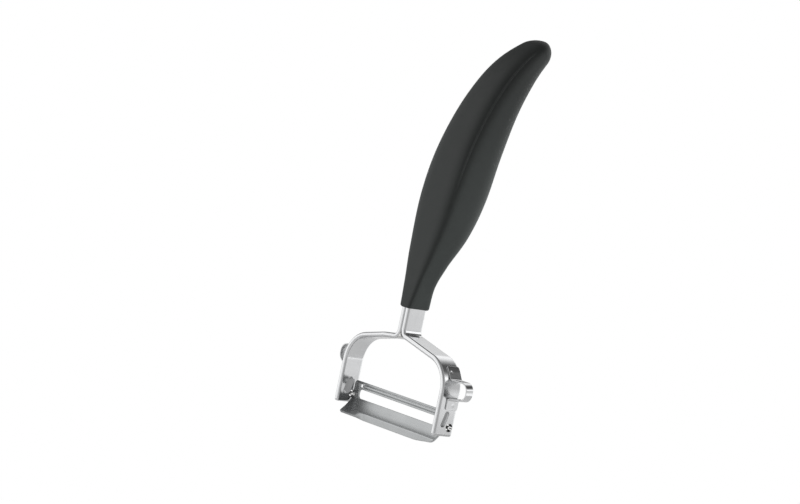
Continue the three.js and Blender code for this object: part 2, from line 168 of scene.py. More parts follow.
# Spacing of the grids, in millimetres, degrees and counts
TINY = 1e-9
GRID_SLACK = 1e-6
SPINE_STEP = 1e-4
SPINE_TRIES = 4001
HEIGHT_TRIES = 2001
RIM_ANGLES = (0, 20, 40, 60, 76, 90)
FOOT_ANGLES = (0, 10, 20, 30, 40)
FOOT_RIM_ANGLES = (20, 40, 60, 80, 90)
GRIP_SIDES = 320
GRIP_RINGS = (140, 24)
CAVITY_RINGS = (30, 6)
STRIP_PACE = 0.3
FINE_PACE = 0.1
FINE_BACK = (-2.9, 4.6)
FINE_UP = (0.4, 11.6)
STRIP_ROWS = (14, 56, 44, 60, 14, 24)
TANG_STEPS = 40
WELD_SIDE_STEPS = 16
WELD_ACROSS_STEPS = 14
WELD_END_STEPS = 7
LOOP_PACE = 0.16
SLOT_CORNER_GRID = 1.5
BLADE_PACES = (0.2, 0.1, 0.15, 0.7, 0.15, 0.1, 0.2)
BLADE_UP_PACES = (0.14, 0.25, 0.12, 0.1, 0.12)
LUG_LEG_STEPS = 24
LUG_FOLD_STEPS = 26
LUG_RIM_STEPS = 5

# Places that follow from the sizes
half_yoke = YOKE_WIDTH / 2
half_strip = STRIP_WIDTH / 2
arm_x = half_yoke - STRIP_THICKNESS / 2
arm_face = half_yoke - STRIP_THICKNESS
stem_x = (STEM_SEAM + STRIP_THICKNESS) / 2
stack_half = STEM_SEAM / 2 + STRIP_THICKNESS
shoulder_top = ARM_HEIGHT + SHOULDER_RISE
handle_foot = shoulder_top + STEM_LENGTH
blade_half = arm_face - BLADE_END_GAP
shoulder_angle = np.arctan2(SHOULDER_RISE, arm_x - stem_x)
shoulder_turn = np.pi / 2 - shoulder_angle
arc_start = ARM_HEIGHT - SHOULDER_RADIUS * np.tan(shoulder_turn / 2)
hole_radius = LUG_DIAMETER / 2 + LUG_CLEARANCE
foot_depth = half_strip + FOOT_EDGE_WALL

# Handle stations: share of the length, spine towards the back, depth to the front and to the back of it,
# half width, and the section's power in front and behind
STATIONS = np.array([
    [0.0, 0.0, foot_depth, foot_depth, stack_half + FOOT_SIDE_WALL, 8.0, 8.0],
    [0.0915, 0.2, 5.2, 5.42, 4.9, 7.5, 6.0],
    [0.1795, 2.0, 6.25, 6.9, 7.2, 7.0, 4.6],
    [0.3051, 5.9, 8.94, 10.37, 9.8, 6.5, 3.7],
    [0.4248, 8.7, 10.25, 12.13, 10.9, 6.0, 3.3],
    [0.5915, 12.8, 10.22, 11.5, 10.9, 4.6, 3.2],
    [0.7624, 19.8, 8.86, 9.52, 10.3, 3.6, 3.0],
    [0.8855, 28.3, 7.28, 7.53, 9.3, 2.9, 2.7],
    [1.0, 41.4, 4.33, 4.33, 6.6, 2.4, 2.4],
])
PALM_STATION = 4
palm_rise = STATIONS[PALM_STATION, 0] * HANDLE_LENGTH
HOLD = np.array([0.0, STATIONS[PALM_STATION, 1], handle_foot + palm_rise])


# Meshes

def new_piece(name, points, faces, body, slot, material, *nodes):
    """A smooth mesh that rides on a body: points in millimetres go to metres from the palm's hold."""
    used = np.unique(np.concatenate([f.ravel() for f in faces]))
    number = np.full(len(points), -1)
    number[used] = np.arange(len(used))
    mesh = bpy.data.meshes.new(name)
    polygons = [row for f in faces for row in number[f].tolist()]
    mesh.from_pydata(((points[used] - HOLD) / 1000).tolist(), [], polygons)
    mesh.polygons.foreach_set("use_smooth", np.ones(len(mesh.polygons), bool))
    mesh.materials.append(material)
    mesh.update()
    piece = bpy.data.objects.new(name, mesh)
    scene.collection.objects.link(piece)
    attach(piece, body)
    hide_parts(*nodes)
    return piece


def mirrored(points, faces):
    """The same surface with X turned round, and each face's corners too, so it still faces out."""
    return points * np.array([-1, 1, 1]), [f[:, ::-1] for f in faces]


def smooth(share):
    """An even S-curve from 0 to 1: three times the square less twice the cube."""
    share = np.clip(share, 0, 1)
    return share * share * (3 - 2 * share)


def bent_line(corners, distances):
    """Places and left-hand normals at distances along a line in a plane, as complex numbers.
    The heading is constant on a straight stretch and turns evenly round each corner's arc."""
    at = np.array([complex(x, y) for x, y, _ in corners])
    radius = np.array([r for _, _, r in corners])
    step = np.diff(at)
    heading = np.angle(step)
    turn = (np.diff(heading) + np.pi) % (2 * np.pi) - np.pi
    cut = np.concatenate([[0], radius[1:-1] * np.tan(np.abs(turn) / 2), [0]])
    straight = np.abs(step) - cut[:-1] - cut[1:]
    arc = radius[1:-1] * np.abs(turn)
    lengths = np.zeros(2 * len(straight) - 1)
    lengths[0::2] = straight
    lengths[1::2] = arc
    curl = np.zeros(len(lengths))
    curl[1::2] = turn / np.maximum(arc, TINY)
    knots = np.concatenate([[0], np.cumsum(lengths)])
    starts = np.zeros(len(lengths))
    starts[0::2] = heading
    starts[1::2] = heading[:-1]

    def swept(run, bend, way):
        """Step made by a run that starts out on a way and bends evenly: a chord of the arc, or a straight."""
        round_arc = (np.exp(1j * (way + bend * run)) - np.exp(1j * way)) / (1j * np.where(bend == 0, 1, bend))
        return np.where(bend == 0, run * np.exp(1j * way), round_arc)

    begin = at[0] + np.concatenate([[0], np.cumsum(swept(lengths, curl, starts))])[:-1]
    part = np.clip(np.searchsorted(knots, distances, side="right") - 1, 0, len(lengths) - 1)
    past = distances - knots[part]
    place = begin[part] + swept(past, curl[part], starts[part])
    normal = 1j * np.exp(1j * (starts[part] + curl[part] * past))
    return place, normal


def bent_length(corners):
    """Length of such a line: its straight stretches and its arcs."""
    at = np.array([complex(x, y) for x, y, _ in corners])
    radius = np.array([r for _, _, r in corners])[1:-1]
    heading = np.angle(np.diff(at))
    turn = np.abs((np.diff(heading) + np.pi) % (2 * np.pi) - np.pi)
    return np.abs(np.diff(at)).sum() - 2 * (radius * np.tan(turn / 2)).sum() + (radius * turn).sum()


def ruled(knots, paces, rim):
    """Grid lines from knot to knot: bunched along a quarter circle at each knot, evenly spaced between."""
    bunch = rim * (1 - np.cos(np.radians(RIM_ANGLES)))
    lines = [np.array(knots, float)]
    for low, high, pace in zip(knots[:-1], knots[1:], paces):
        steps = max(2, int(np.ceil((high - low - 2 * rim) / pace)) + 1)
        lines += [low + bunch, np.linspace(low + rim, high - rim, steps), high - bunch]
    return np.unique(np.round(np.concatenate(lines), 5))


def squares_to_circles(u, v, centre, core, radius, reach):
    """Squares about a centre become circles: the core square is the hole's edge, the reach square stays."""
    du = u - centre[0]
    dv = v - centre[1]
    square = np.maximum(np.abs(du), np.abs(dv))
    far = np.maximum(np.hypot(du, dv), TINY)
    share = (square - core) / (reach - core)
    wanted = radius + share * (reach * far / np.maximum(square, TINY) - radius)
    scale = np.where((square > core - GRID_SLACK) & (square < reach), wanted / far, 1)
    return centre[0] + du * scale, centre[1] + dv * scale


def rounded_quarter(u, v, centre, way, radius, reach):
    """One round corner of a grid: in the quarter that way points to, the radius's square becomes a circle.
    With a reach beyond the radius the change dies out there, else it fills the corner from its centre."""
    du = (u - centre[0]) * way[0]
    dv = (v - centre[1]) * way[1]
    square = np.maximum(du, dv)
    far = np.maximum(np.hypot(du, dv), TINY)
    if reach > radius:
        share = (square - radius) / (reach - radius)
        wanted = radius + share * (reach * far / np.maximum(square, TINY) - radius)
        zone = (du > 0) & (dv > 0) & (square > radius - GRID_SLACK) & (square < reach)
    else:
        wanted = square
        zone = (du > 0) & (dv > 0) & (square < radius + GRID_SLACK)
    scale = np.where(zone, wanted / far, 1)
    return centre[0] + du * scale * way[0], centre[1] + dv * scale * way[1]


def inside_box(u, v, low, high, corner):
    """How far a point lies inside a rectangle with round corners; negative outside."""
    du = np.abs(u - (low[0] + high[0]) / 2) - (high[0] - low[0]) / 2 + corner
    dv = np.abs(v - (low[1] + high[1]) / 2) - (high[1] - low[1]) / 2 + corner
    return corner - np.hypot(np.maximum(du, 0), np.maximum(dv, 0)) - np.minimum(np.maximum(du, dv), 0)


def rim_half(depth_in, thickness, rim, reach):
    """Half the sheet's thickness at a depth in from its edge: a quarter ellipse, rim by reach, then even."""
    short = 1 - np.clip(depth_in / reach, 0, 1)
    return thickness / 2 - rim + rim * np.sqrt(1 - short * short)


def sheet_faces(keep):
    """Both sides of each kept cell of a grid, and a wall where a kept cell meets an opening or the border."""
    rows, cols = keep.shape
    number = np.arange((rows + 1) * (cols + 1)).reshape(rows + 1, cols + 1)
    count = number.size
    corners = (number[:-1, :-1], number[1:, :-1], number[1:, 1:], number[:-1, 1:])
    front = np.stack(corners, -1)[keep]
    walls = []
    ringed = np.pad(keep, 1)
    before, after = ringed[:-1, 1:-1], ringed[1:, 1:-1]
    near, far = number[:, :-1], number[:, 1:]
    for start, end, mask in ((near, far, after & ~before), (far, near, before & ~after)):
        walls.append(np.stack([start, end, end + count, start + count], -1)[mask])
    before, after = ringed[1:-1, :-1], ringed[1:-1, 1:]
    near, far = number[:-1, :], number[1:, :]
    for start, end, mask in ((far, near, after & ~before), (near, far, before & ~after)):
        walls.append(np.stack([start, end, end + count, start + count], -1)[mask])
    return [front, front[:, ::-1] + count, *walls]


def sheet(sides, keep):
    """A sheet's points, one side after the other, and its faces."""
    return np.concatenate([side.reshape(-1, 3) for side in sides]), sheet_faces(keep)


def ring_faces(rings, count):
    """Numbers of the points in closed rings, of the next points round, and the quads between the rings."""
    number = np.arange(rings * count).reshape(rings, count)
    ahead = np.roll(number, -1, axis=1)
    return number, ahead, np.stack([number[:-1], ahead[:-1], ahead[1:], number[1:]], -1).reshape(-1, 4)


def tube_faces(rings, count):
    """Quads between rings of points, and a fan at each end into one of the two points after the last ring."""
    number, ahead, sides = ring_faces(rings, count)
    foot, head = rings * count, rings * count + 1
    low = np.stack([np.full(count, foot), ahead[0], number[0]], -1)
    high = np.stack([np.full(count, head), number[-1], ahead[-1]], -1)
    return [sides, low, high]


# Handle

def through(values, at):
    """A smooth curve through rows of values, at shares of its run. Its pace is the chords' square roots, and
    each span is a cubic whose end slopes blend the neighbouring chords."""
    ghost_low = 2 * values[0] - values[1]
    ghost_high = 2 * values[-1] - values[-2]
    full = np.vstack([ghost_low, values, ghost_high])
    pace = np.linalg.norm(np.diff(full, axis=0), axis=1) ** 0.5
    spot = np.clip(at, 0, 1) * (len(values) - 1)
    span = np.minimum(spot.astype(int), len(values) - 2)
    t = (spot - span)[:, None]
    p0, p1, p2, p3 = (full[span + k] for k in range(4))
    d0, d1, d2 = (pace[span + k][:, None] for k in range(3))
    slope1 = ((p1 - p0) / d0 - (p2 - p0) / (d0 + d1) + (p2 - p1) / d1) * d1
    slope2 = ((p2 - p1) / d1 - (p3 - p1) / (d1 + d2) + (p3 - p2) / d2) * d1
    return (p1 + slope1 * t + (-3 * p1 + 3 * p2 - 2 * slope1 - slope2) * t ** 2
            + (2 * p1 - 2 * p2 + slope1 + slope2) * t ** 3)


def handle_spine(share):
    """Spine places, tangents and half sizes at shares of the run of stations."""
    ups = STATIONS[:, 0] * HANDLE_LENGTH
    line = np.stack([STATIONS[:, 1], handle_foot + ups], -1)
    girth = np.stack([STATIONS[:, 2], STATIONS[:, 3], STATIONS[:, 4], ups], -1)
    after, before = (through(line, np.clip(share + step, 0, 1)) for step in (SPINE_STEP, -SPINE_STEP))
    ahead = after - before
    tangent = ahead / np.linalg.norm(ahead, axis=1)[:, None]
    return through(line, share), tangent, through(girth, share)


def share_at(up):
    """Share of the run of stations at which the spine is so high above the handle's foot."""
    tries = np.linspace(0, 1, SPINE_TRIES)
    place, _, _ = handle_spine(tries)
    return np.interp(up, place[:, 1] - handle_foot, tries)


def swell(wave, power):
    """A wave raised to two over a power, with its sign kept: the higher the power, the flatter the faces."""
    return np.sign(wave) * np.abs(wave) ** (2 / power)


def handle_rings(share, inset, rounding, count):
    """Rings round the spine: swollen cosine across and sine in depth, for flat faces with soft corners.
    Each station has its own depth and power in front of the spine and behind it, and rounding shrinks a ring
    towards the spine."""
    place, tangent, size = handle_spine(share)
    ups = STATIONS[:, 0] * HANDLE_LENGTH
    angle = np.linspace(0, 2 * np.pi, count, endpoint=False)[None, :]
    before = np.sin(angle) < 0
    half = np.where(before, size[:, :1], size[:, 1:2]) - inset
    power = np.where(before, *(np.interp(size[:, 3], ups, STATIONS[:, k])[:, None] for k in (5, 6)))
    across = ((size[:, 2] - inset) * rounding)[:, None] * swell(np.cos(angle), power)
    deep = half * rounding[:, None] * swell(np.sin(angle), power)
    back = place[:, :1] + tangent[:, 1:] * deep
    up = place[:, 1:] - tangent[:, :1] * deep
    return np.stack([across, back, up], -1)


def with_seam(rings, share):
    """The parting line: a fine bell-shaped ridge along each front corner, fading at both ends."""
    angle = np.linspace(0, 2 * np.pi, rings.shape[1], endpoint=False)
    corner = np.degrees(np.arctan2(np.abs(np.sin(angle)), np.abs(np.cos(angle))))
    ridge = SEAM_HEIGHT * np.exp(-((corner - SEAM_ANGLE) / SEAM_SPREAD) ** 2) * (np.sin(angle) < 0)
    rise, fall = (smooth((share - start) / run) for start, run in zip(SEAM_RUN, SEAM_FADES))
    outward = rings - rings.mean(axis=1, keepdims=True)
    outward = outward / np.linalg.norm(outward, axis=2, keepdims=True)
    return rings + outward * ((rise - fall)[:, None] * ridge)[..., None]


def handle_run(start_up, inset, rings, tip_rings):
    """Shares and roundings from a height to the tip: even up the body, then a quarter circle over the tip."""
    _, tangent, _ = handle_spine(np.array([1.0]))
    end_up = HANDLE_LENGTH - inset * tangent[0, 1]
    end = share_at(end_up)
    dome = share_at(end_up - TIP_ROUNDING * handle_spine(np.array([end]))[1][0, 1])
    start = share_at(start_up)
    turn = np.linspace(0, np.pi / 2, tip_rings + 2)[1:-1]
    share = np.concatenate([np.linspace(start, dome, rings), dome + (end - dome) * np.sin(turn)])
    rounding = np.concatenate([np.ones(rings), np.cos(turn)])
    return share, rounding, handle_spine(np.array([end]))[0][0]


def grip_surface():
    """The skin as one tube: from the tip down the outside, round the foot's edge, in to the tang's slot, up
    the slot's walls, out to the cavity and up its wall to the inner tip."""
    count = GRIP_SIDES
    share, rounding, tip = handle_run(FOOT_RIM, 0.0, *GRIP_RINGS)
    outside = with_seam(handle_rings(share, 0.0, rounding, count), share)[::-1]
    rim_turn = np.radians(FOOT_RIM_ANGLES)
    foot_share = share_at(FOOT_RIM * (1 - np.sin(rim_turn)))
    rim = np.concatenate([
        handle_rings(np.array([s]), FOOT_RIM * (1 - np.cos(t)), np.ones(1), count)
        for s, t in zip(foot_share, rim_turn)])
    angle = np.linspace(0, 2 * np.pi, count, endpoint=False)
    slot = np.stack([
        (stack_half + MOULD_GAP) * swell(np.cos(angle), SLOT_POWER),
        (half_strip + MOULD_GAP) * swell(np.sin(angle), SLOT_POWER),
        np.full(count, handle_foot)], -1)
    slot_walls = np.stack([slot, slot + np.array([0, 0, MOULD_GAP])])
    cavity_start = CORE_START - MOULD_GAP
    cavity_inset = SKIN_THICKNESS - MOULD_GAP
    neck = slot * np.array([1, NECK_SHARE, 1]) + np.array([0, 0, cavity_start])
    in_share, in_rounding, in_tip = handle_run(cavity_start, cavity_inset, *CAVITY_RINGS)
    cavity = handle_rings(in_share, cavity_inset, in_rounding, count)
    rings = np.concatenate([outside, rim, slot_walls, neck[None], cavity])
    ends = np.array([[0, *tip], [0, *in_tip]])
    return np.vstack([rings.reshape(-1, 3), ends]), tube_faces(len(rings), count)


# Yoke

def stem_bend(dip):
    """Height of the corner between shoulder and stem, and the angle turned there, for a strip's dip."""
    run, drop, _ = dip
    return shoulder_top - drop, np.pi / 2 - np.arctan2(run * np.tan(shoulder_angle) - drop, run)


def strip_corners(dip):
    """Corners of the strip's middle line: arm, shoulder, a slight dip before the stem, stem and tang."""
    run, _, radius = dip
    return [
        (arm_x, 0.0, 0.0),
        (arm_x, ARM_HEIGHT, SHOULDER_RADIUS),
        (stem_x + run, shoulder_top - run * np.tan(shoulder_angle), radius),
        (stem_x, stem_bend(dip)[0], STEM_RADIUS),
        (stem_x, handle_foot + TANG_LENGTH, 0.0),
    ]


def boss_distance(y, z):
    """Distance from the boss's middle line, which leans back as it rises, and the offset to the back."""
    low = np.array([PIVOT_BACK - BOSS_FROM_PIVOT, PIVOT_HEIGHT + BOSS_ABOVE_PIVOT])
    lean = np.radians(90 - BOSS_LEAN)
    way = np.array([np.cos(lean), np.sin(lean)])
    share = np.clip((y - low[0]) * way[0] + (z - low[1]) * way[1], 0, BOSS_LENGTH)
    offset = (y - low[0]) * way[1] - (z - low[1]) * way[0]
    return np.hypot(y - low[0] - share * way[0], z - low[1] - share * way[1]), offset


def strip_grid(dip, length):
    """Grid lines across and along a strip, fine at the hole and the boss, and where the stem's bend ends."""
    tang_start = length - TANG_LENGTH
    coarse = ruled([-half_strip, half_strip], [STRIP_PACE], STRIP_CROWN)
    fine = np.arange(FINE_BACK[0], FINE_BACK[1] + FINE_PACE / 2, FINE_PACE)
    on_fine = np.abs(coarse / FINE_PACE - np.round(coarse / FINE_PACE)) < GRID_SLACK
    beside = (coarse < FINE_BACK[0] - FINE_PACE / 2) | (coarse > FINE_BACK[1] - FINE_PACE / 2)
    y_lines = np.unique(np.round(np.concatenate([coarse[beside | on_fine], fine]), 5))
    stem_foot, stem_turn = stem_bend(dip)
    bend_end = tang_start - handle_foot + stem_foot + STEM_RADIUS * np.tan(stem_turn / 2)
    bend_start = bend_end - STEM_RADIUS * stem_turn
    arc_end = arc_start + SHOULDER_RADIUS * shoulder_turn
    knots = [FINE_UP[1], arc_start, arc_end, bend_start, bend_end, tang_start, length]
    s_lines = np.unique(np.round(np.concatenate([
        STRIP_CROWN * (1 - np.cos(np.radians(FOOT_ANGLES))),
        np.arange(*FINE_UP, FINE_PACE),
        *(np.linspace(low, high, rows) for low, high, rows in zip(knots[:-1], knots[1:], STRIP_ROWS))]), 5))
    return y_lines, s_lines, bend_end


def strip_surface(dip):
    """A strip on the right: a sheet on a line of arm, shoulder, stem and tang, with round edges, a pivot hole
    and a boss. Offsets run along the line's normal, and the boss pushes both sides in by an S-curve of the
    distance from its own line. The stem's bend has a flat facet outside."""
    corners = strip_corners(dip)
    length = bent_length(corners)
    y_lines, s_lines, bend_end = strip_grid(dip, length)
    y, s = np.meshgrid(y_lines, s_lines, indexing="ij")
    hole = (PIVOT_BACK, PIVOT_HEIGHT)
    middle_y = (y[:-1, :-1] + y[1:, 1:]) / 2
    middle_s = (s[:-1, :-1] + s[1:, 1:]) / 2
    keep = np.maximum(np.abs(middle_y - hole[0]), np.abs(middle_s - hole[1])) > HOLE_CORE
    y, s = squares_to_circles(y, s, hole, HOLE_CORE, hole_radius, HOLE_REACH)
    for way in (-1, 1):
        y, s = rounded_quarter(
            y, s, (way * (half_strip - ARM_FOOT_RADIUS), ARM_FOOT_RADIUS), (way, -1), ARM_FOOT_RADIUS, 0)
    edge = inside_box(y, s, (-half_strip, 0), (half_strip, length), ARM_FOOT_RADIUS)
    half = rim_half(edge, STRIP_THICKNESS, STRIP_RIM, STRIP_CROWN)
    hole_depth = np.hypot(y - hole[0], s - hole[1]) - hole_radius
    half = np.minimum(half, rim_half(hole_depth, STRIP_THICKNESS, HOLE_RIM, HOLE_RIM))
    bend_angle = np.degrees((bend_end - s) / STEM_RADIUS)
    off_facet = np.radians(np.clip(bend_angle - FACET_ANGLE, -FACET_HALF, FACET_HALF))
    facet = (STEM_RADIUS - STRIP_THICKNESS / 2) * (1 - np.cos(np.radians(FACET_HALF)) / np.cos(off_facet))
    apart, offset = boss_distance(y, s)
    tilt = np.clip(0.5 + offset / BOSS_TILT_SPAN, 0, 1)
    dimple = DIMPLE_DEPTH * smooth((DIMPLE_REACH - apart) / DIMPLE_WALL) * (1 - DIMPLE_BACK_RISE * tilt)
    boss = (BOSS_DEPTH * smooth((BOSS_REACH - apart) / BOSS_WALL)
            * (BOSS_FRONT_SHARE + (1 - BOSS_FRONT_SHARE) * tilt))
    up_tang = s - length + TANG_LENGTH
    tang = np.clip(up_tang / TANG_NECK, 0, 1)
    width_share = 1 + (TANG_WIDTH / STRIP_WIDTH - 1) * tang
    y = y * width_share + np.interp(up_tang, *tang_middle()) * tang
    place, normal = bent_line(corners, s)
    sides = [np.stack([place.real - normal.real * out, y, place.imag - normal.imag * out], -1)
             for out in (half + facet - dimple, -half - boss)]
    return sheet(sides, keep)


def tang_middle():
    """Heights above the handle's foot, and how far back the spine is there."""
    ups = np.linspace(0, TANG_LENGTH, TANG_STEPS)
    return ups, handle_spine(share_at(ups))[0][:, 0]


def weld_surface():
    """Weld metal in the V between the strips: rings from front to back, each bounded by the strips' bends.
    The bottom sags in by a shallow parabola, and the ends are drawn in to a rounded face."""
    reach = STEM_RADIUS + STRIP_THICKNESS / 2 + WELD_GAP
    side_angle = np.pi + np.radians(np.linspace(*WELD_ANGLES, WELD_SIDE_STEPS))
    bulge = reach * np.stack([np.cos(side_angle), np.sin(side_angle)], -1)
    sides = []
    for dip in (RIGHT_DIP, LEFT_DIP):
        stem_foot, stem_turn = stem_bend(dip)
        rise = stem_foot + STEM_RADIUS * np.tan(stem_turn / 2)
        sides.append(bulge + np.array([stem_x + STEM_RADIUS, rise]))
    right, left = sides[0], (sides[1] * np.array([-1, 1]))[::-1]
    across = np.linspace(0, 1, WELD_ACROSS_STEPS)[1:-1, None]
    foot = right[-1] + (left[0] - right[-1]) * across + np.array([0, WELD_SAG]) * across * (1 - across)
    top = left[-1] + (right[0] - left[-1]) * across
    ring = np.concatenate([right, foot, left, top])
    heart = ring.mean(0)
    turn = np.linspace(0, np.pi / 2, WELD_END_STEPS)
    ends = half_strip - WELD_GAP - WELD_END_RADIUS + WELD_END_RADIUS * np.sin(turn)
    shrink = 1 - WELD_END_DRAW * (1 - np.cos(turn))
    y = np.concatenate([-ends[::-1], ends])
    scale = np.concatenate([shrink[::-1], shrink])
    rings = heart + (ring - heart) * scale[:, None, None]
    points = np.stack([rings[..., 0], np.broadcast_to(y[:, None], rings.shape[:2]), rings[..., 1]], -1)
    poles = np.array([[heart[0], y[0], heart[1]], [heart[0], y[-1], heart[1]]])
    return np.vstack([points.reshape(-1, 3), poles]), tube_faces(len(y), len(ring))


# Eye loops

def loop_surface():
    """The right loop: a sheet on a line down the shoulder, out, round the tip and back to the arm.
    Its front edge draws back towards the tip along a parabola, and the tip flares towards the front."""
    seat = STRIP_THICKNESS / 2 + LOOP_SEAT + LOOP_THICKNESS / 2
    centre = np.array([arm_x - SHOULDER_RADIUS, arc_start])
    radius = SHOULDER_RADIUS + seat
    run = (LOOP_OPENING + LOOP_THICKNESS) / 2
    rise = LOOP_CENTRE_HEIGHT + run - centre[1]
    leave = np.arcsin(rise / radius)
    low = np.arcsin(rise / np.hypot(radius, TAIL_LEAD)) + np.arctan2(TAIL_LEAD, radius)
    high = leave + (LOOP_UPPER_TAIL + LOOP_ROOT_RADIUS) / radius
    on_arc = lambda angle, far: centre + far * np.array([np.cos(angle), np.sin(angle)])
    tail_top = on_arc(high, radius)
    tail_bend = on_arc((low + high) / 2, radius / np.cos((high - low) / 2))
    root = on_arc(low, radius) + TAIL_LEAD * np.array([np.sin(low), -np.cos(low)])
    apex = half_yoke + LOOP_REACH - LOOP_THICKNESS / 2
    bottom = LOOP_CENTRE_HEIGHT - run
    corners = [
        (*tail_top, 0.0),
        (*tail_bend, radius),
        (*root, LOOP_ROOT_RADIUS),
        (apex, root[1], LOOP_CORNER),
        (apex, bottom, LOOP_CORNER),
        (arm_x + seat, bottom, LOOP_ROOT_RADIUS),
        (arm_x + seat, bottom - LOOP_ROOT_RADIUS - LOOP_LOWER_TAIL, 0.0),
    ]
    length = bent_length(corners)
    s_lines = ruled([0, length], [LOOP_PACE], LOOP_RIM)
    w_lines = ruled([0, LOOP_WIDTH], [LOOP_PACE], LOOP_RIM)
    w, s = np.meshgrid(w_lines, s_lines, indexing="ij")
    for end, way in ((TAIL_CORNER, -1), (length - TAIL_CORNER, 1)):
        w, s = rounded_quarter(w, s, (TAIL_CORNER, end), (-1, way), TAIL_CORNER, 0)
        w, s = rounded_quarter(w, s, (LOOP_WIDTH - TAIL_CORNER, end), (1, way), TAIL_CORNER, 0)
    edge = inside_box(w, s, (0, 0), (LOOP_WIDTH, length), TAIL_CORNER)
    half = rim_half(edge, LOOP_THICKNESS, LOOP_RIM, LOOP_RIM)
    place, normal = bent_line(corners, s)
    out_share = np.clip((place.real - half_yoke - LOOP_THICKNESS) / (LOOP_REACH - LOOP_THICKNESS), 0, 1)
    front = half_strip - LOOP_WIDTH + (LOOP_WIDTH - LOOP_APEX_WIDTH) * (1 - (1 - out_share) ** 2)
    back = half_strip - LOOP_INSET
    y = back - (back - front) * (1 - w / LOOP_WIDTH)
    flare = LOOP_FLARE * out_share * ((half_strip - y) / LOOP_APEX_WIDTH - LOOP_FLARE_MIDDLE)
    dent = 0
    for (share, from_end, part), from_start in ((UPPER_SPOT, s), (LOWER_SPOT, length - s)):
        apart = np.hypot(w - LOOP_WIDTH * share, from_start - from_end)
        dent = dent + part * SPOT_DEPTH * smooth(SPOT_EDGE - apart / SPOT_RADIUS)
    sides = [np.stack([place.real + normal.real * out + flare, y, place.imag + normal.imag * out], -1)
             for out in (half - dent, -half)]
    return sheet(sides, np.ones((len(w_lines) - 1, len(s_lines) - 1), bool))


# Blade

def blade_line(lip_turn, plate_dish):
    """Corners of the blade's section, back against height: lip, crease, dish, bend, bar fold and bar top.
    The plate's two halves lean steeper and flatter than the slope, one wide arc joins them into a dish, and
    the last of it before the crease rolls flatter still."""
    slope = np.radians(PLATE_SLOPE)
    dish = np.radians(plate_dish) / 2
    lip_slope = np.radians(PLATE_SLOPE + lip_turn)
    bend = np.array([PIVOT_BACK + BLADE_BEND_BACK, PIVOT_HEIGHT - BLADE_BEND_BELOW])
    crease = bend - PLATE_LENGTH * np.array([np.cos(slope), np.sin(slope)])
    half_chord = PLATE_LENGTH / 2 / np.cos(dish)
    middle = bend - half_chord * np.array([np.cos(slope + dish), np.sin(slope + dish)])
    lip = crease - LIP_LENGTH * np.array([np.cos(lip_slope), np.sin(lip_slope)])
    roll_slope = slope - dish - np.radians(ROLL_TURN)
    roll = crease + ROLL_LENGTH * np.array([np.cos(roll_slope), np.sin(roll_slope)])
    bar_top = PIVOT_HEIGHT + BAR_HEIGHT
    fold = bar_top - BAR_FLANGE
    dish_radius = DISH_SHARE * half_chord / np.tan(dish)
    return [
        (*lip, 0.0),
        (*crease, CREASE_RADIUS),
        (*roll, ROLL_RADIUS),
        (*middle, dish_radius),
        (*bend, BLADE_BEND_RADIUS),
        (bend[0], fold, BAR_FOLD_RADIUS),
        (bend[0] + BAR_FLANGE * np.tan(np.radians(BAR_FOLD)), bar_top, 0.0),
    ]


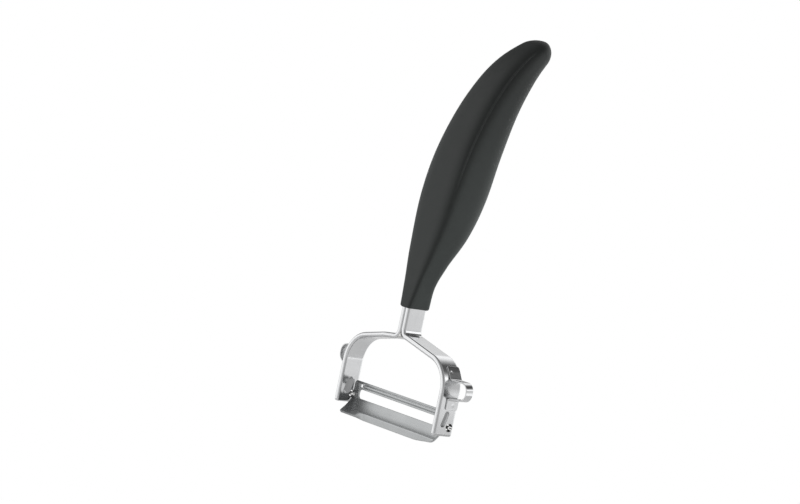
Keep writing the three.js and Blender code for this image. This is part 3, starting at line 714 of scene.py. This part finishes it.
def blade_surface():
    """The blade: a sheet on its section's line, drawn out along X, with the slot, a relief window at each end
    of the bar and round corners. The lip's turn fades out towards the plate's left end by an S-curve, and its
    lower edge lifts to the right."""
    turned = blade_line(LIP_TURN, PLATE_DISH)
    flat = blade_line(-PLATE_DISH / 2 - ROLL_TURN, PLATE_DISH)
    length = bent_length(turned)
    tries = np.linspace(0, length, HEIGHT_TRIES)
    bar_top = PIVOT_HEIGHT + BAR_HEIGHT
    levels = [PIVOT_HEIGHT - SLOT_BELOW_PIVOT, bar_top - BAR_WIDTH, bar_top - BAR_FLANGE]
    slot_low, slot_high, fold = np.interp(levels, bent_line(turned, tries)[0].imag, tries)
    slot_half = blade_half - SLOT_END
    relief_low = fold - RELIEF_HEIGHT
    relief_in = slot_half - RELIEF_WIDTH
    corner_x = slot_half - SLOT_CORNER - SLOT_CORNER_GRID
    knots = [-blade_half, -slot_half, -relief_in, -corner_x, corner_x, relief_in, slot_half, blade_half]
    x_lines = ruled(knots, BLADE_PACES, BLADE_RIM)
    s_lines = ruled([0, slot_low, slot_high, relief_low, fold, length], BLADE_UP_PACES, BLADE_RIM)
    x, s = np.meshgrid(x_lines, s_lines, indexing="ij")
    middle_x = np.abs((x[:-1, :-1] + x[1:, 1:]) / 2)
    middle_s = (s[:-1, :-1] + s[1:, 1:]) / 2
    slot = (middle_x < slot_half) & (middle_s > slot_low) & (middle_s < slot_high)
    relief = (middle_x < slot_half) & (middle_x > relief_in) & (middle_s > relief_low) & (middle_s < fold)
    for way, corner in ((-1, PLATE_LEFT_CORNER), (1, PLATE_RIGHT_CORNER)):
        x, s = rounded_quarter(x, s, (way * (blade_half - corner), corner), (way, -1), corner, 0)
        x, s = rounded_quarter(
            x, s, (way * (blade_half - BAR_CORNER), length - BAR_CORNER), (way, 1), BAR_CORNER, 0)
        for level, turn in ((slot_low + SLOT_CORNER, -1), (slot_high - SLOT_CORNER, 1)):
            x, s = rounded_quarter(
                x, s, (way * (slot_half - SLOT_CORNER), level), (way, turn),
                SLOT_CORNER, SLOT_CORNER + SLOT_CORNER_FADE)
    edge = np.minimum(
        inside_box(x, s, (-blade_half, 0), (2 * blade_half, 2 * length), PLATE_LEFT_CORNER),
        inside_box(x, s, (-2 * blade_half, 0), (blade_half, 2 * length), PLATE_RIGHT_CORNER))
    edge = np.minimum(edge, inside_box(x, s, (-blade_half, -length), (blade_half, length), BAR_CORNER))
    edge = np.minimum(edge, -inside_box(x, s, (-slot_half, slot_low), (slot_half, slot_high), SLOT_CORNER))
    for low, high in ((-slot_half, -relief_in), (relief_in, slot_half)):
        edge = np.minimum(edge, -inside_box(x, s, (low, relief_low), (high, fold), RELIEF_CORNER))
    half = rim_half(edge, BLADE_THICKNESS, BLADE_RIM, BLADE_RIM)
    lift = LIP_LIFT * smooth((x - LIFT_FROM) / (blade_half - LIFT_FROM))
    s = s + lift * np.maximum(0, 1 - s / (LIP_LENGTH + LIFT_FADE))
    ending = smooth((-x - LIP_FADE[0]) / (LIP_FADE[1] - LIP_FADE[0]))
    place, normal = bent_line(turned, s)
    plain, plain_normal = bent_line(flat, s + bent_length(flat) - length)
    place = place + (plain - place) * ending
    normal = normal + (plain_normal - normal) * ending
    normal = normal / np.abs(normal)
    inward = smooth((relief_in - np.abs(x)) / GROOVE_RUN_OUT)
    groove = sum(np.maximum(0, 1 - np.abs(length - s - down) / GROOVE_HALF) for down in BAR_GROOVES)
    sides = [np.stack([x, place.real + normal.real * out, place.imag + normal.imag * out], -1)
             for out in (half - GROOVE_DEPTH * groove * inward, -half)]
    return sheet(sides, ~(slot | relief))


def lug_surface():
    """The right lug: sheet folded back on itself, a U that leans down to the back, drawn out along X.
    Its free end is drawn in towards the sheet's middle to a round rim."""
    radius = (LUG_SHEET + LUG_FOLD_GAP) / 2
    front = LUG_DIAMETER / 2 - radius - LUG_SHEET / 2
    leg = np.linspace(LUG_DIAMETER / 2 - LUG_BACK_TRIM, -front, LUG_LEG_STEPS)
    fold = -front + radius * np.exp(1j * np.linspace(-np.pi / 2, -3 * np.pi / 2, LUG_FOLD_STEPS)[1:-1])
    along = np.concatenate([leg - 1j * radius, fold, leg[::-1] + 1j * radius])
    along = along * np.exp(-1j * np.radians(LUG_TILT))
    tangent = np.gradient(along)
    normal = 1j * tangent / np.abs(tangent)
    ring = np.concatenate([along + normal * LUG_SHEET / 2, (along - normal * LUG_SHEET / 2)[::-1]])
    start, end = blade_half - SLOT_END / 2, half_yoke + LUG_PROUD
    rim = np.linspace(0, np.pi / 2, LUG_RIM_STEPS)
    x = np.concatenate([[start], end - LUG_RIM + LUG_RIM * np.sin(rim)])
    heart = np.concatenate([along, along[::-1]])
    draw = np.concatenate([[1], 1 - LUG_RIM_DRAW * (1 - np.cos(rim))])
    rings = heart + (ring - heart) * draw[:, None]
    points = np.stack([np.broadcast_to(x[:, None], rings.shape),
                       PIVOT_BACK + rings.real, PIVOT_HEIGHT + rings.imag], -1)
    count = ring.size
    number, _, sides = ring_faces(len(x), count)
    pair = np.arange(count // 2 - 1)
    caps = []
    for row, flip in ((number[0], 1), (number[-1], -1)):
        cap = np.stack([row[pair], row[count - 1 - pair], row[count - 2 - pair], row[pair + 1]], -1)
        caps.append(cap[:, ::flip])
    return points.reshape(-1, 3), [sides, *caps]


# Finishes

def finish(name):
    """A new node material, its node tree and its principled shader."""
    material = bpy.data.materials.new(name)
    material.use_nodes = True
    tree = material.node_tree
    return material, tree, tree.nodes["Principled BSDF"]


def object_place(tree):
    """The place on the object itself, in metres from the palm's hold."""
    return tree.nodes.new("ShaderNodeTexCoord").outputs["Object"]


def noise(tree, scale, stretch, detail):
    """A procedural noise on the object's own places, stretched along the axes."""
    mapping = tree.nodes.new("ShaderNodeMapping")
    mapping.inputs["Scale"].default_value = stretch
    texture = tree.nodes.new("ShaderNodeTexNoise")
    texture.inputs["Scale"].default_value = scale
    texture.inputs["Detail"].default_value = detail
    tree.links.new(object_place(tree), mapping.inputs["Vector"])
    tree.links.new(mapping.outputs["Vector"], texture.inputs["Vector"])
    return texture.outputs["Fac"]


def ramp(tree, source, stops):
    """A colour ramp fed by a source socket; stops are position and grey or colour."""
    node = tree.nodes.new("ShaderNodeValToRGB")
    elements = node.color_ramp.elements
    while len(elements) < len(stops):
        elements.new(0.5)
    for element, (place, shade) in zip(elements, stops):
        element.position = place
        shade = (shade,) * 3 if np.isscalar(shade) else shade
        element.color = (*shade, 1)
    tree.links.new(source, node.inputs["Fac"])
    return node.outputs["Color"]


def mapped(tree, value, source, target=(0, 1), interpolation="LINEAR"):
    """A value's place between the ends of a source range, carried over to a target range and held there."""
    node = tree.nodes.new("ShaderNodeMapRange")
    node.interpolation_type = interpolation
    for name, level in zip(("From Min", "From Max", "To Min", "To Max"), (*source, *target)):
        node.inputs[name].default_value = level
    tree.links.new(value, node.inputs["Value"])
    return node.outputs["Result"]


def vector_node(tree, operation, vector, other):
    """A vector node between a socket and a fixed vector."""
    node = tree.nodes.new("ShaderNodeVectorMath")
    node.operation = operation
    node.inputs[1].default_value = other
    tree.links.new(vector, node.inputs[0])
    return node.outputs


def bumped(tree, shader, height, strength, distance):
    """Bump from a height socket into the shader's normal."""
    node = tree.nodes.new("ShaderNodeBump")
    node.inputs["Strength"].default_value = strength
    node.inputs["Distance"].default_value = distance
    tree.links.new(height, node.inputs["Height"])
    tree.links.new(node.outputs["Normal"], shader.inputs["Normal"])


def mottled(tree, shader, mottle, shades, grain, rough, spread):
    """Colour that wanders with one noise between two shades, and roughness that wanders with another."""
    roughs = [(NOISE_LOW, rough - spread), (NOISE_HIGH, rough + spread)]
    tree.links.new(ramp(tree, mottle, shades), shader.inputs["Base Color"])
    tree.links.new(ramp(tree, grain, roughs), shader.inputs["Roughness"])


def steel(name, dark, light, rough, spread, stretch, bump):
    """Satin steel: a broad noise in the colour, and a fine stretched one in the roughness and the bump."""
    material, tree, shader = finish(name)
    shader.inputs["Metallic"].default_value = 1
    fine = noise(tree, STEEL_FINE_SCALE, stretch, 3)
    broad = noise(tree, STEEL_BROAD_SCALE, (1, 1, 1), 2)
    mottled(tree, shader, broad, [(NOISE_LOW, dark), (NOISE_HIGH, light)], fine, rough, spread)
    bumped(tree, shader, fine, bump, STEEL_BUMP)
    return material


def moulded(name, dark, light, rough, bump):
    """Matte moulded plastic: a fine grain in the bump, and a faint mottle in the colour and roughness."""
    material, tree, shader = finish(name)
    shader.inputs["Specular IOR Level"].default_value = PLASTIC_SHINE
    grain = noise(tree, PLASTIC_GRAIN_SCALE, (1, 1, 1), 2)
    mottle = noise(tree, PLASTIC_MOTTLE_SCALE, (1, 1, 1), 3)
    shades = [(PLASTIC_NOISE_LOW, dark), (NOISE_HIGH, light)]
    mottled(tree, shader, mottle, shades, mottle, rough, PLASTIC_ROUGH_SPREAD)
    bumped(tree, shader, grain, bump, PLASTIC_BUMP)
    return material


def tinted(tree, measure, ends, share):
    """Scales a finish's colour by a factor: a share at the first end of a measure, and 1 at the other."""
    colour = tree.nodes["Principled BSDF"].inputs["Base Color"]
    tint = tree.nodes.new("ShaderNodeVectorMath")
    tint.operation = "SCALE"
    tree.links.new(colour.links[0].from_socket, tint.inputs[0])
    tree.links.new(mapped(tree, measure, ends, (share, 1)), tint.inputs["Scale"])
    tree.links.new(tint.outputs["Vector"], colour)


def painted_shade_along(material, way, ends, share):
    """Painted shade: a finish grows darker along a way, from full colour at the second end to a share of it
    at the first.
    """
    tree = material.node_tree
    measure = vector_node(tree, "DOT_PRODUCT", object_place(tree), way)["Value"]
    tinted(tree, measure, (np.array(ends) - np.dot(way, HOLD)) / 1000, share)


def arms_painted_shade(material):
    """Painted shade on the arms: their faces grow a little darker towards their feet, and the pivot holes are
    dark inside.
    The first goes by the height and leaves out the front rim, the second by the distance from the pivot's
    axis."""
    tree = material.node_tree
    place = object_place(tree)
    axes_apart = tree.nodes.new("ShaderNodeSeparateXYZ")
    tree.links.new(place, axes_apart.inputs[0])
    heights = (np.array(ARM_SHADE) - HOLD[2]) / 1000
    rim = (STRIP_CROWN * np.array(ARM_SHADE_RIM) - half_strip - HOLD[1]) / 1000
    # Painted shade by height: the arms darker towards their feet
    height = tree.nodes.new("ShaderNodeMath")
    height.operation = "MAXIMUM"
    tree.links.new(axes_apart.outputs["Z"], height.inputs[0])
    tree.links.new(mapped(tree, axes_apart.outputs["Y"], rim, heights[::-1]), height.inputs[1])
    tinted(tree, height.outputs[0], heights, ARM_SHADE_SHARE)
    # Painted shade inside the pivot holes, where the walls lie in shadow
    across = vector_node(tree, "MULTIPLY", place, (0, 1, 1))["Vector"]
    pivot = (np.array([0.0, PIVOT_BACK, PIVOT_HEIGHT]) - HOLD) / 1000
    from_axis = vector_node(tree, "DISTANCE", across, pivot)["Value"]
    tinted(tree, from_axis, (hole_radius + np.array(HOLE_SHADE)) / 1000, HOLE_SHADE_SHARE)


# Noise per metre, bump in metres, and the places of painted shade in the same millimetres as the sizes
NOISE_LOW = 0.3
NOISE_HIGH = 0.7
STEEL_FINE_SCALE = 900
STEEL_BROAD_SCALE = 120
STEEL_BUMP = 0.00002
PLASTIC_GRAIN_SCALE = 2600
PLASTIC_MOTTLE_SCALE = 300
PLASTIC_BUMP = 0.00005
PLASTIC_NOISE_LOW = 0.35
PLASTIC_SHINE = 0.36
PLASTIC_ROUGH_SPREAD = 0.04
# Painted shade: the arms' faces darken towards their feet
ARM_SHADE = (2.0, 14.0)
ARM_SHADE_SHARE = 0.76
ARM_SHADE_RIM = (0.4, 1.0)
# Painted shade inside the pivot holes
HOLE_SHADE = (0.02, 0.2)
HOLE_SHADE_SHARE = 0.06
# Painted shade: the blade darkens towards the left end of its lip
LIP_END_WAY = (1.0, 0.0, 2.5)
LIP_END_SHADE = (-41.0, -19.0)
LIP_END_SHARE = 0.5
# Painted shade: the grip darkens towards its tip
TIP_WAY = (0.0, 0.0, 1.0)
TIP_SHADE = (150.0, 75.0)
TIP_SHADE_SHARE = 0.68

yoke_finish = steel(
    "yoke_satin", (0.633, 0.638, 0.645), (0.683, 0.688, 0.695), 0.17, 0.03, (1, 1, 0.12), 0.05)
loop_finish = steel("loop_sheet", (0.58, 0.585, 0.59), (0.625, 0.63, 0.636), 0.12, 0.04, (0.12, 1, 1), 0.06)
blade_finish = steel(
    "blade_satin", (0.375, 0.384, 0.387), (0.405, 0.414, 0.417), 0.26, 0.03, (0.06, 1, 1), 0.008)
# Painted highlight: the lugs get a brighter copy of the blade's steel
lug_highlight_finish = steel("lug_painted_highlight", (0.78, 0.78, 0.775), (0.84, 0.84, 0.835), 0.16, 0.03, (0.2, 1, 1), 0.05)
weld_finish = steel("weld_metal", (0.54, 0.54, 0.53), (0.64, 0.64, 0.63), 0.36, 0.08, (1, 1, 1), 0.6)
grip_finish = moulded("grip_charcoal", (0.0166, 0.0198, 0.0188), (0.0205, 0.0243, 0.0231), 0.54, 0.35)
core_finish = moulded("core_plastic", (0.06, 0.06, 0.06), (0.08, 0.08, 0.08), 0.6, 0.1)
# Painted shade: arms darker at their feet and inside the pivot holes
arms_painted_shade(yoke_finish)
# Painted shade on the blade's lip towards its left end, and on the grip towards its tip
painted_shade_along(blade_finish, LIP_END_WAY, LIP_END_SHADE, LIP_END_SHARE)
painted_shade_along(grip_finish, TIP_WAY, TIP_SHADE, TIP_SHADE_SHARE)

# Pieces

right_strip = strip_surface(RIGHT_DIP)
left_strip = mirrored(*strip_surface(LEFT_DIP))
right_loop = loop_surface()
right_lug = lug_surface()
left_lug = mirrored(*right_lug)
lug_points = np.vstack([right_lug[0], left_lug[0]])
lug_faces = right_lug[1] + [f + len(right_lug[0]) for f in left_lug[1]]

new_piece("grip", *grip_surface(), "frame", "grip", grip_finish, "grip_skin")
new_piece("yoke_strip_right", *right_strip, "frame", "yoke_steel", yoke_finish, "right_strip")
new_piece("yoke_strip_left", *left_strip, "frame", "yoke_steel", yoke_finish, "left_strip")
new_piece("weld_fill", *weld_surface(), "frame", "weld_steel", weld_finish, "stem_weld")
new_piece("eye_loop_right", *right_loop, "frame", "loop_steel", loop_finish, "right_eye_loop")
new_piece("eye_loop_left", *mirrored(*right_loop), "frame", "loop_steel", loop_finish, "left_eye_loop")
new_piece("swing_blade_sheet", *blade_surface(), "swing_blade", "blade_steel", blade_finish, "blade")
# The lugs carry the painted highlight finish
new_piece("swing_blade_lugs", lug_points, lug_faces, "swing_blade", None, lug_highlight_finish, "blade")
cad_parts["handle_core"].data.materials.clear()
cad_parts["handle_core"].data.materials.append(core_finish)

# Camera: where the photograph was taken from, in the same millimetres
AZIMUTH = 49.225
ELEVATION = 4.06
ROLL = 11.766
LENS_PIXELS = 3000.0
IMAGE_WIDTH = 800.0
DISTANCE = 1229.305
AIM = np.array([0.17, 0.0, 60.0])
AIM_OFFSET = (21.446, 23.937)
SENSOR_WIDTH = 36.0
CLIP = (0.02, 200.0)

turn, lift, roll = np.radians([AZIMUTH, ELEVATION, ROLL])
away = np.array([np.sin(turn) * np.cos(lift), -np.cos(turn) * np.cos(lift), np.sin(lift)])
level = np.array([np.cos(turn), np.sin(turn), 0.0])
rise = np.cross(away, level)
right = level * np.cos(roll) + rise * np.sin(roll)
up = rise * np.cos(roll) - level * np.sin(roll)
axes = np.array([right, up, away])
shift = np.array([-AIM_OFFSET[0], AIM_OFFSET[1], LENS_PIXELS]) * DISTANCE / LENS_PIXELS
eye = (AIM + axes.T @ shift - HOLD) / 1000
lens = bpy.data.cameras.new("camera")
lens.sensor_width = SENSOR_WIDTH
lens.lens = LENS_PIXELS / IMAGE_WIDTH * SENSOR_WIDTH
lens.clip_start, lens.clip_end = CLIP
camera = bpy.data.objects.new("camera", lens)
scene.collection.objects.link(camera)
camera.matrix_world = Matrix([[*axes[:, i], eye[i]] for i in range(3)] + [[0, 0, 0, 1]])
scene.camera = camera

# Floor, well below the blade, in metres: it glows faintly, more where the camera sees it
FLOOR_DROP = 0.38
FLOOR_HALF = 1.1
FLOOR_WHITE = 0.86
FLOOR_ROUGH = 0.9
FLOOR_SHINE = 0.1
FLOOR_GLOW = (0.25, 0.6)
floor_plan = np.array([[-1, -1, 0], [1, -1, 0], [1, 1, 0], [-1, 1, 0]])
floor_mesh = bpy.data.meshes.new("floor")
floor_mesh.from_pydata((floor_plan * FLOOR_HALF - np.array([0, 0, FLOOR_DROP])).tolist(), [], [(0, 1, 2, 3)])
floor = bpy.data.objects.new("floor", floor_mesh)
scene.collection.objects.link(floor)
floor_finish, floor_tree, floor_shader = finish("floor_white")
floor_shader.inputs["Base Color"].default_value = (FLOOR_WHITE, FLOOR_WHITE, FLOOR_WHITE, 1)
floor_shader.inputs["Roughness"].default_value = FLOOR_ROUGH
floor_shader.inputs["Specular IOR Level"].default_value = FLOOR_SHINE
floor_shader.inputs["Emission Color"].default_value = (1, 1, 1, 1)
floor_seen = floor_tree.nodes.new("ShaderNodeLightPath").outputs["Is Camera Ray"]
floor_glow = mapped(floor_tree, floor_seen, (0, 1), FLOOR_GLOW)
floor_tree.links.new(floor_glow, floor_shader.inputs["Emission Strength"])
floor_mesh.materials.append(floor_finish)

# Two narrow lamps for the handle's right side and left rim, by place, aim and watts
LAMPS = [
    ("fill_right", (0.2, 0.57, -0.06), (0.0, 0.0, -0.06), 0.46),
    ("fill_left", (-0.58, 0.0, -0.03), (0.0, 0.0, -0.03), 0.45),
]
LAMP_SIZE = 0.16
LAMP_SPREAD = 36
for name, place, aim, power in LAMPS:
    lamp = bpy.data.lights.new(name, "AREA")
    lamp.energy = power
    lamp.size = LAMP_SIZE
    lamp.spread = np.radians(LAMP_SPREAD)
    fill = bpy.data.objects.new(name, lamp)
    facing = (Vector(place) - Vector(aim)).to_track_quat("Z", "Y")
    fill.matrix_world = Matrix.Translation(place) @ facing.to_matrix().to_4x4()
    fill.visible_glossy = False
    scene.collection.objects.link(fill)

# Studio surround: a soft grey room with pale cards and dark gaps, white where the camera sees it
world = bpy.data.worlds.new("studio")
scene.world = world
world.use_nodes = True
room = world.node_tree
room.nodes.clear()


def room_math(operation, *values):
    """One arithmetic node of the surround, fed by sockets or numbers."""
    node = room.nodes.new("ShaderNodeMath")
    node.operation = operation
    for socket, value in zip(node.inputs, values):
        if isinstance(value, (int, float)):
            socket.default_value = value
        else:
            room.links.new(value, socket)
    return node.outputs[0]


def room_band(stops):
    """Brightness of the room against the angle round the front-to-back axis, in degrees from the right."""
    angle = room_math("ARCTAN2", toward.outputs["Z"], toward.outputs["X"])
    turn_share = room_math("ADD", room_math("MULTIPLY", angle, 0.5 / np.pi), 0.5)
    return ramp(room, turn_share, [((degrees + 180) / 360, level) for degrees, level in stops])


def room_share(ends):
    """A smooth step from 0 to 1 as the way looked turns between two shares of straight back."""
    return mapped(room, toward.outputs["Y"], ends, interpolation="SMOOTHSTEP")


def room_blend(first, second, share):
    """The first brightness where the share is 0, and the second where it is 1."""
    kept = room_math("MULTIPLY", first, room_math("SUBTRACT", 1.0, share))
    return room_math("ADD", kept, room_math("MULTIPLY", second, share))


BEHIND = [
    (-180, 0.6), (-90, 0.9), (-34, 1.3), (-24, 1.7), (-14, 1.6), (-8, 0.84), (0, 0.84), (6, 0.64), (24, 0.64),
    (30, 1.25), (38, 1.95), (44, 1.25), (50, 0.7), (56, 0.3), (64, 0.13), (88, 0.08), (96, 0.24), (108, 0.66),
    (120, 1.18), (134, 1.42), (144, 0.95), (150, 0.7), (156, 0.6), (162, 0.4), (172, 0.4), (180, 0.6),
]
BESIDE = [
    (-180, 0.5), (-90, 0.85), (-20, 0.65), (0, 0.6), (30, 0.55), (60, 0.36), (90, 0.25), (130, 0.2),
    (155, 0.2), (170, 0.36), (180, 0.5),
]
BEFORE = [
    (-180, 1.4), (-150, 1.2), (-90, 0.8), (-20, 0.55), (0, 0.47), (40, 0.3), (70, 0.25), (90, 0.4),
    (108, 0.7), (124, 1.25), (142, 1.4), (156, 1.05), (168, 1.1), (176, 1.4), (180, 1.4),
]
FACING = 1.0
BACKING = 1.35
FRONT_TO_SIDE = (-0.24, -0.05)
SIDE_TO_BACK = (0.45, 0.63)
STRAIGHT_FRONT = (-0.8, -0.95)
STRAIGHT_BACK = (0.84, 0.96)
toward = room.nodes.new("ShaderNodeSeparateXYZ")
room.links.new(room.nodes.new("ShaderNodeTexCoord").outputs["Generated"], toward.inputs[0])
before = room_blend(room_band(BEFORE), FACING, room_share(STRAIGHT_FRONT))
behind = room_blend(room_band(BEHIND), BACKING, room_share(STRAIGHT_BACK))
beside = room_blend(before, room_band(BESIDE), room_share(FRONT_TO_SIDE))
brightness = room_blend(beside, behind, room_share(SIDE_TO_BACK))
ray = room.nodes.new("ShaderNodeLightPath").outputs["Is Camera Ray"]
background = room.nodes.new("ShaderNodeBackground")
background.inputs["Color"].default_value = (1, 1, 1, 1)
room.links.new(room_blend(brightness, 1.0, ray), background.inputs["Strength"])
output = room.nodes.new("ShaderNodeOutputWorld")
room.links.new(background.outputs["Background"], output.inputs["Surface"])

scene.view_settings.view_transform = "Standard"
